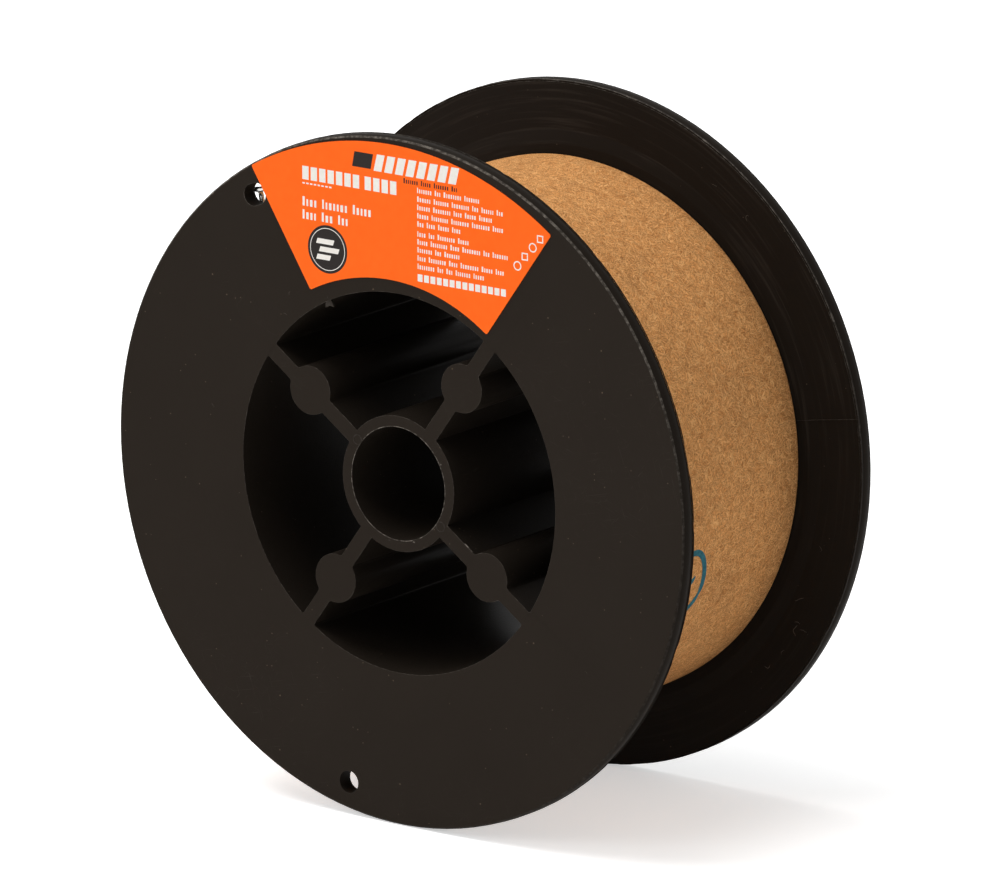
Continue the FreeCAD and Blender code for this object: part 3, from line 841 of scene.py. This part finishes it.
badge_print = bmesh.new()
for left, bottom, width in ((-1.9, 0.7, 3.0), (-1.4, -0.45, 3.4), (-1.9, -1.6, 2.4)):
    block(badge_print, BADGE[0] + left, BADGE[1] + bottom, width, 0.75, slant=0.35)
bmesh.ops.translate(badge_print, verts=badge_print.verts, vec=(0, -INK_THICKNESS, 0))
bmesh.ops.transform(badge_print, matrix=STUCK_ASKEW, verts=badge_print.verts)
finish_mesh(badge_print, "badge_print", white_ink, smooth=False)


# Curled lint from handling clings to the inner face of the back flange, low on the right,
# and a few hairs lie on the labelled face. Each is a fine pale fibre, flat on the plastic.
LINT_BEHIND = (
    ((40.2, -19.4), 5), ((39.1, -23.6), 6), ((39.5, -24.2), 4), ((38.6, -23.2), 3), ((42.1, -8.2), 3),
    ((43.1, -12.1), 3), ((36.3, -28.4), 3), ((33.3, -30.6), 4), ((29.9, 34.3), 4), ((23.6, 38.9), 3),
)
LINT_IN_FRONT = (
    ((-19.4, 24.6), 2), ((-10.4, 28.9), 2), ((-20.4, 21.8), 2), ((-33.0, 6.0), 2), ((33.0, -22.0), 2),
)
LINT_WIDTH = 0.055 * MM
LINT_LINK = 0.34 * MM
LINT_LIFT = 0.03 * MM
LINT_DARK = (0.045, 0.038, 0.030, 1)
LINT_PALE = (0.150, 0.126, 0.102, 1)
RIM_INNER_FACE = 20.0 * MM


def lint_material():
    material, tree, shader = new_material("pale_lint")
    place = add_node(tree, "TexCoord").outputs["Object"]
    tone = cloud(tree, place, 800.0, 2.0)
    tree.links.new(fade(tree, tone, LINT_DARK, LINT_PALE), shader.inputs["Base Color"])
    shader.inputs["Roughness"].default_value = 0.9
    shader.inputs["Specular IOR Level"].default_value = 0.1
    return material


def lay_lint(places, face, seed, name):
    """Curled fibres that start at the given places on a flat face of the spool."""
    lint = bmesh.new()
    draw = random.Random(seed)
    for (start_x, start_z), links in places:
        heading = draw.uniform(0, math.tau)
        end = [start_x * MM, start_z * MM]
        curl = draw.uniform(-0.7, 0.7)
        points = [tuple(end)]
        for link in range(links):
            heading += curl + draw.uniform(-0.6, 0.6)
            end = [end[0] + LINT_LINK * math.cos(heading), end[1] + LINT_LINK * math.sin(heading)]
            points.append(tuple(end))
        stroke(lint, smooth_line(points, 3), LINT_WIDTH * draw.uniform(0.7, 1.2), STROKE_THICKNESS)
    flat_to_face = Matrix.Translation((0, face, 0)) @ Matrix.Rotation(math.radians(90), 4, "X")
    bmesh.ops.transform(lint, matrix=flat_to_face, verts=lint.verts)
    finish_mesh(lint, name, pale_lint)


pale_lint = lint_material()
lay_lint(LINT_BEHIND, RIM_INNER_FACE - LINT_LIFT, 11, "lint_behind")
lay_lint(LINT_IN_FRONT, -FLANGE_FACE - LINT_LIFT, 7, "lint_in_front")


# Floor, backdrop and lamps. The floor and the world are white to the camera.
def stage_floor():
    material, tree, shader = new_material("pale_floor")
    shader.inputs["Base Color"].default_value = (0.93, 0.93, 0.93, 1)
    shader.inputs["Roughness"].default_value = 0.9
    shader.inputs["Specular IOR Level"].default_value = 0.1
    rays = add_node(tree, "LightPath")
    seen = calc(tree, "MAXIMUM", rays.outputs["Is Camera Ray"], rays.outputs["Is Glossy Ray"])
    glow = add_node(tree, "Emission", {"Color": (1, 1, 1, 1), "Strength": 0.5})
    both = add_node(tree, "AddShader", {0: shader.outputs[0], 1: glow.outputs[0]})
    pick = add_node(tree, "MixShader", {0: seen, 1: shader.outputs[0], 2: both.outputs[0]})
    output = next(part for part in tree.nodes if part.type == "OUTPUT_MATERIAL")
    tree.links.new(pick.outputs[0], output.inputs["Surface"])
    plane = bmesh.new()
    bmesh.ops.create_grid(plane, x_segments=1, y_segments=1, size=12.0)
    bmesh.ops.translate(plane, verts=plane.verts, vec=(0, 0, -FLANGE_RADIUS))
    mesh = bpy.data.meshes.new("floor")
    plane.to_mesh(mesh)
    plane.free()
    floor = bpy.data.objects.new("floor", mesh)
    bpy.context.scene.collection.objects.link(floor)
    floor.data.materials.append(material)


def soft_lamp(name, place, size, power):
    lamp = bpy.data.lights.new(name, "AREA")
    lamp.shape = "SQUARE"
    lamp.size = size
    lamp.energy = power
    item = bpy.data.objects.new(name, lamp)
    item.location = place
    item.rotation_euler = (-Vector(place)).to_track_quat("-Z", "Y").to_euler()
    bpy.context.scene.collection.objects.link(item)


def white_world():
    world = bpy.data.worlds.new("studio")
    bpy.context.scene.world = world
    world.use_nodes = True
    tree = world.node_tree
    tree.nodes.clear()
    rays = add_node(tree, "LightPath")
    seen = calc(tree, "MAXIMUM", rays.outputs["Is Camera Ray"], rays.outputs["Is Glossy Ray"])
    seen = calc(tree, "MAXIMUM", seen, rays.outputs["Is Transmission Ray"])
    strength = ramp(tree, seen, 0.0, 1.0, 0.33, 1.0)
    back = add_node(tree, "Background", {"Color": (1, 1, 1, 1), "Strength": strength})
    output = tree.nodes.new("ShaderNodeOutputWorld")
    tree.links.new(back.outputs[0], output.inputs["Surface"])


stage_floor()
white_world()
soft_lamp("top_softbox", (-0.34, -0.26, 1.15), 0.9, 13.2)
soft_lamp("front_softbox", (-0.60, -1.4, 0.7), 0.8, 7.0)
soft_lamp("right_softbox", (1.3, 0.1, 0.6), 0.6, 1.6)
